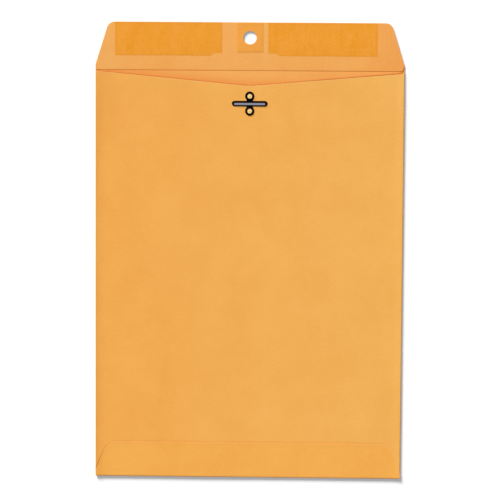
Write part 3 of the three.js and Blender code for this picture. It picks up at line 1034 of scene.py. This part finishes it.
        paint(piece, "mouth", lambda place: deepened(place) if place.y < FOLD_Y else 0)
        paint(piece, "crease", crease)
        paint(piece, "light_drift", lambda place: self.light_drift(place) if place.y > FOLD_Y else 0)
        smooth(piece)
        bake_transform(piece)

    def shoulder_tab(self, paper, flap, side, name):
        """The tip of a side panel that runs past the crease and is pressed down on the flap."""
        foot = EDGE_X - paper.throat_end_width
        left, right = sorted([side * foot, side * EDGE_X])
        low, high = (left, FOLD_Y), (right, FOLD_Y + flap.shoulder)
        piece = grid(name, low, high, PAPER + FRONT_Z, flap.tab_cell)
        line = self.tab_line(paper, flap, side)
        trim_top(piece, line[::side])

        def rise(place):
            share = 1 - (place.y - FOLD_Y) / flap.shoulder
            return flap.tab_lift * share + flap_rise(flap, place.x, place.y)

        raise_by(piece, rise)
        outside, inside = self.papers(paper)[::-1]
        thicken(piece, PAPER, outside, inside)

        dark = 0.9

        def crease(place):
            """The left tab is creased with the flap, in fibres and painted shade; the right has its
            slit's painted shadow.
            """
            if side < 0:
                return dark * hump(place.y - FOLD_Y, 2 * flap.groove_width)
            return hump(from_line(line, *place.xy), flap.slit)

        paint(piece, "crease", crease)
        smooth(piece)
        hand_over(piece, "flap", "kraft_paper")

    def execute(self, context):
        paper, flap = context.scene.envelope_paper, context.scene.envelope_flap
        self.flap_sheet(paper, flap)
        self.crease_strip(paper, flap)
        self.shoulder_tab(paper, flap, -1, "shoulder_tab_left")
        self.shoulder_tab(paper, flap, 1, "shoulder_tab_right")
        return {"FINISHED"}


class ENVELOPE_OT_hole_patch(bpy.types.Operator):
    """The patch of paper that strengthens the flap's hole"""

    bl_idname = "envelope.hole_patch"
    bl_label = "Hole Patch"

    def execute(self, context):
        paper, flap = context.scene.envelope_paper, context.scene.envelope_flap
        low, high = (patch_low.x, patch_low.y), (patch_high.x, patch_high.y)
        z = (patch_low.z + patch_high.z) / 2
        piece = grid("hole_patch_sheet", low, high, z, paper.fine_cell)
        raise_by(piece, lambda place: flap_rise(flap, place.x, place.y))
        thicken(piece, patch_high.z - patch_low.z, kraft_paper("kraft_patch", paper, paper.patch))

        def pressed(place):
            """The patch is pressed into the wet sheet hardest along its edge."""
            top = place.z > z + flap_rise(flap, place.x, place.y)
            inner = min(place.x - low[0], high[0] - place.x, place.y - low[1])
            return -top * (inner < MERGE) * flap.patch_press * (patch_high.z - patch_low.z)

        raise_by(piece, pressed)
        cut_round(piece, 0, FLAP_TOP_Y - flap.hole_from_edge, flap.hole / 2)
        smooth(piece)
        hand_over(piece, "flap", "patch_paper", "flap_hole_patch")
        return {"FINISHED"}


class ENVELOPE_OT_gum_strips(bpy.types.Operator):
    """The two strips of dried gum on the flap, with the uneven edge that a roller leaves"""

    bl_idname = "envelope.gum_strips"
    bl_label = "Gum Strips"

    def execute(self, context):
        paper, flap = context.scene.envelope_paper, context.scene.envelope_flap
        for node in ("flap_gum_left", "flap_gum_right"):
            low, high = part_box(node)
            z = (low.z + high.z) / 2
            piece = grid(f"{node}_film", (low.x, low.y), (high.x, high.y), z, paper.fine_cell)
            middle = (low + high) / 2
            inner_end = min(abs(low.x), abs(high.x))
            for vertex in piece.data.vertices:
                place = vertex.co.copy()
                grain = flap.gum_grain
                wander = flap.gum_ragged * noise.noise((place.x / grain, place.y / grain, 1))
                inner = 1 - eased((abs(place.x) - inner_end) / flap.gum_starved_run)
                # The bare corner has an even edge over two thirds of its run
                bare = abs(wander) + flap.gum_starved * eased(3 * inner)
                vertex.co.y += bare * (high.y - place.y) / (high.y - low.y)
                if min(place.x - low.x, high.x - place.x) < MERGE:
                    vertex.co.x += math.copysign(wander, middle.x - place.x)
            raise_by(piece, lambda place: flap_rise(flap, place.x, place.y))
            thicken(piece, high.z - low.z, dried_gum("dried_gum", paper))

            def edge(place):
                inner = min(place.x - low.x, high.x - place.x, place.y - low.y, high.y - place.y)
                return hump(max(inner, 0), flap.gum_edge)

            paint(piece, "edge", edge)
            smooth(piece)
            hand_over(piece, "flap", "flap_gum", node)
        return {"FINISHED"}


class ENVELOPE_OT_clasp_eyelets(bpy.types.Operator):
    """The clasp's two eyelets, rolled over above the paper and clinched under it"""

    bl_idname = "envelope.clasp_eyelets"
    bl_label = "Clasp Eyelets"

    def eyelet_section(self, clasp):
        """Radius and height round the wall of an eyelet."""
        bore = clasp.bore / 2
        barrel = bore + clasp.sheet
        middle, half = (bore + RIM_RADIUS) / 2, (RIM_RADIUS - bore) / 2
        rim_height = clasp_high.z - side_high.z
        steps = 12
        rim = [
            (middle + half * math.cos(a), side_high.z + rim_height * math.sin(a))
            for a in (math.pi * k / steps for k in range(steps + 1))
        ]
        return rim + [
            (bore, backing_low.z),
            (barrel, clasp_low.z),
            (barrel + clasp.clinch, (clasp_low.z + backing_low.z) / 2),
            (barrel + clasp.clinch, backing_low.z),
            (barrel, backing_low.z),
            (barrel, side_high.z),
        ]

    def eyelet(self, clasp, y):
        section = self.eyelet_section(clasp)
        pick()
        bpy.ops.mesh.primitive_circle_add(vertices=len(section))
        ring = bpy.context.object
        for vertex, (radius, height) in zip(ring.data.vertices, section):
            vertex.co = (radius, y, height)
        choose(ring, "EDGE", everywhere)
        bpy.ops.mesh.spin(steps=56, angle=2 * math.pi, center=(0, y, 0), axis=(0, 0, 1))
        bpy.ops.mesh.select_all(action="SELECT")
        bpy.ops.mesh.remove_doubles(threshold=MERGE)
        bpy.ops.mesh.normals_make_consistent(inside=False)
        return done(ring)

    def neck(self, clasp, side):
        """The strip from just under the bar's edge to under an eyelet's rim."""
        near, under_rim = 1.9 * MM, 0.9 * MM
        far = EYELET_OFFSET - RIM_RADIUS + under_rim
        ends = sorted([CLASP_Y + side * near, CLASP_Y + side * far])
        low, high = (-clasp.neck / 2, ends[0]), (clasp.neck / 2, ends[1])
        z = side_high.z + clasp.sheet / 2
        piece = grid("neck", low, high, z, clasp.cell)
        thicken(piece, clasp.sheet)
        return piece

    def execute(self, context):
        clasp = context.scene.envelope_clasp
        piece, *others = [
            make(clasp, value)
            for side in (-1, 1)
            for make, value in (
                (self.eyelet, CLASP_Y + side * EYELET_OFFSET),
                (self.neck, side),
            )
        ]
        piece.name = piece.data.name = "clasp_eyelets"
        for other in others:
            modify(piece, "BOOLEAN", operation="UNION", object=other, solver="EXACT")
            bpy.data.objects.remove(other)
        piece.data.materials.clear()
        piece.data.materials.append(tinned_steel("tinned_steel", clasp))

        past_bore, above_paper = 0.1 * MM, 0.2 * MM

        def clean(place):
            inside = from_eyelet(place) < clasp.bore / 2 + past_bore
            return float(inside and place.z < side_high.z + above_paper)

        paint(piece, "tin", clean)
        smooth(piece)
        hand_over(piece, "envelope", "clasp_steel", "clasp_base")
        return {"FINISHED"}


class ENVELOPE_OT_clasp_bars(bpy.types.Operator):
    """The clasp's two prongs, with the rib that is pressed up along them"""

    bl_idname = "envelope.clasp_bars"
    bl_label = "Clasp Bars"

    def bar(self, clasp, side, name, body, node):
        reach, half = prong_high.x, (prong_high.y - prong_low.y) / 2 - clasp.narrower
        ends = sorted([0, side * reach])
        z = prong_low.z + clasp.sheet / 2
        low, high = (ends[0], CLASP_Y - half), (ends[1], CLASP_Y + half)
        piece = grid(name, low, high, z, clasp.cell)
        tip = side * (reach - half)
        steps = 28
        arc = [
            (tip + side * half * math.cos(a), CLASP_Y + side * half * math.sin(a))
            for a in (math.pi * (k / steps - 0.5) for k in range(steps + 1))
        ]
        trim_convex(piece, arc)

        def from_rib(place, short=0):
            """The distance to the rib's middle line, which may stop short of its end."""
            along = min(max(side * place.x, 0), reach - half - short)
            return math.hypot(place.x - side * along, place.y - CLASP_Y + clasp.rib_shift)

        def rib(place):
            share = (clasp.rib_foot - from_rib(place)) / (clasp.rib_foot - clasp.rib_crest)
            return clasp.rib_rise * eased(share)

        raise_by(piece, rib)
        thicken(piece, clasp.sheet, tinned_steel("tinned_steel", clasp))
        # A painted reflection along the rib's crest, stopping short of its end
        paint(piece, "painted_reflection", lambda place: eased(
            (clasp.rib_crest - from_rib(place, clasp.painted_reflection_end)) / clasp.painted_reflection_edge
        ))
        smooth(piece)
        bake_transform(piece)
        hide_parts(node)

    def execute(self, context):
        clasp = context.scene.envelope_clasp
        self.bar(clasp, -1, "clasp_bar_left", "left_clasp_prong", "prong_left")
        self.bar(clasp, 1, "clasp_bar_right", "right_clasp_prong", "prong_right")
        return {"FINISHED"}


class ENVELOPE_OT_hidden_layers(bpy.types.Operator):
    """The paste in the seams and the patch that the clasp is clinched against"""

    bl_idname = "envelope.hidden_layers"
    bl_label = "Hidden Layers"

    def execute(self, context):
        paper = context.scene.envelope_paper
        paste = kraft_paper("dried_paste", paper, paper.paste, 0.6)
        finishes = {
            "centre_seam_glue": paste,
            "bottom_flap_glue": paste,
            "clasp_backing_patch": kraft_paper("kraft_patch", paper, paper.patch),
        }
        for node, material in finishes.items():
            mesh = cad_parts[node].data
            mesh.materials.clear()
            mesh.materials.append(material)
        return {"FINISHED"}


class ENVELOPE_OT_stage(bpy.types.Operator):
    """A white table, a soft lamp at the upper left, and the camera above"""

    bl_idname = "envelope.stage"
    bl_label = "Stage"

    def table(self, studio):
        pick()
        bpy.ops.mesh.primitive_plane_add(size=TABLE_SIZE, location=(0, 0, -studio.table_drop))
        table = bpy.context.object
        table.name = "table"
        material, tree = new_material("white_table")
        seen = self.seen(tree)
        white = add_node(tree, "ShaderNodeBsdfDiffuse", {"Color": [studio.table] * 3 + [1]})
        strength = add_node(
            tree, "ShaderNodeMath", {0: seen, 1: studio.table_glow}, operation="MULTIPLY"
        ).outputs[0]
        glow = add_node(tree, "ShaderNodeEmission", {"Strength": strength})
        both = add_node(tree, "ShaderNodeAddShader", {0: white.outputs[0], 1: glow.outputs[0]})
        add_node(tree, "ShaderNodeOutputMaterial", {"Surface": both.outputs[0]})
        table.data.materials.append(material)

    def seen(self, tree):
        """1 for what the camera sees, also in metal or through glass."""
        path = add_node(tree, "ShaderNodeLightPath").outputs
        shiny = add_node(tree, "ShaderNodeMath", {
            0: path["Is Camera Ray"], 1: path["Is Glossy Ray"],
        }, operation="MAXIMUM").outputs[0]
        return add_node(tree, "ShaderNodeMath", {
            0: shiny, 1: path["Is Transmission Ray"],
        }, operation="MAXIMUM").outputs[0]

    def sky(self, scene, studio):
        world = bpy.data.worlds.new("studio")
        world.use_nodes = True
        tree = world.node_tree
        tree.nodes.clear()
        shade = tinted(
            tree, self.seen(tree), [studio.sky * c for c in studio.sky_tint] + [1], (1, 1, 1, 1)
        )
        background = add_node(tree, "ShaderNodeBackground", {"Color": shade, "Strength": 1.0})
        add_node(tree, "ShaderNodeOutputWorld", {"Surface": background.outputs[0]})
        scene.world = world

    def lamp(self, scene, studio):
        light = bpy.data.lights.new("soft_lamp", "SUN")
        light.energy = studio.lamp_strength
        light.color = studio.lamp_tint
        light.angle = studio.lamp_spread
        lamp = bpy.data.objects.new("soft_lamp", light)
        level = math.cos(studio.lamp_height)
        towards = Vector((
            -level * math.sin(studio.lamp_side),
            level * math.cos(studio.lamp_side),
            math.sin(studio.lamp_height),
        ))
        lamp.rotation_euler = towards.to_track_quat("Z", "Y").to_euler()
        scene.collection.objects.link(lamp)

    def camera(self, scene, studio):
        data = bpy.data.cameras.new("camera")
        data.lens = studio.lens
        data.clip_end = 10 * studio.distance
        camera = bpy.data.objects.new("camera", data)
        camera.rotation_euler = (studio.tilt, studio.lean, studio.roll)
        back = camera.rotation_euler.to_matrix() @ Vector((0, 0, studio.distance))
        camera.location = Vector((studio.aim_x, studio.aim_y, 0)) + back
        scene.collection.objects.link(camera)
        scene.camera = camera

    def execute(self, context):
        scene = context.scene
        studio = scene.envelope_studio
        scene.view_settings.view_transform = "Standard"
        self.table(studio)
        self.sky(scene, studio)
        self.lamp(scene, studio)
        self.camera(scene, studio)
        return {"FINISHED"}


OPERATORS = (
    ENVELOPE_OT_stage,
    ENVELOPE_OT_front_panel,
    ENVELOPE_OT_side_panels,
    ENVELOPE_OT_bottom_flap,
    ENVELOPE_OT_closure_flap,
    ENVELOPE_OT_hole_patch,
    ENVELOPE_OT_gum_strips,
    ENVELOPE_OT_clasp_eyelets,
    ENVELOPE_OT_clasp_bars,
    ENVELOPE_OT_hidden_layers,
)

SETTINGS = {
    "envelope_paper": PaperSettings,
    "envelope_flap": FlapSettings,
    "envelope_clasp": ClaspSettings,
    "envelope_studio": StudioSettings,
}


class ENVELOPE_PT_pieces(bpy.types.Panel):
    """Lists the pieces of the envelope and their sizes"""

    bl_idname = "ENVELOPE_PT_pieces"
    bl_label = "Clasp Envelope"
    bl_space_type = "VIEW_3D"
    bl_region_type = "UI"
    bl_category = "Envelope"

    def draw(self, context):
        for operator in OPERATORS:
            self.layout.operator(operator.bl_idname)
        for name, group in SETTINGS.items():
            box = self.layout.box()
            for setting in group.__annotations__:
                box.prop(getattr(context.scene, name), setting)


def register():
    for group in SETTINGS.values():
        bpy.utils.register_class(group)
    for name, group in SETTINGS.items():
        setattr(bpy.types.Scene, name, PointerProperty(type=group))
    for operator in OPERATORS:
        bpy.utils.register_class(operator)
    bpy.utils.register_class(ENVELOPE_PT_pieces)


def unregister():
    bpy.utils.unregister_class(ENVELOPE_PT_pieces)
    for operator in reversed(OPERATORS):
        bpy.utils.unregister_class(operator)
    for name in SETTINGS:
        delattr(bpy.types.Scene, name)
    for group in SETTINGS.values():
        bpy.utils.unregister_class(group)


def main():
    register()
    bpy.ops.envelope.stage()
    bpy.ops.envelope.front_panel()
    bpy.ops.envelope.side_panels()
    bpy.ops.envelope.bottom_flap()
    bpy.ops.envelope.closure_flap()
    bpy.ops.envelope.hole_patch()
    bpy.ops.envelope.gum_strips()
    bpy.ops.envelope.clasp_eyelets()
    bpy.ops.envelope.clasp_bars()
    bpy.ops.envelope.hidden_layers()


if __name__ == "__main__":
    main()
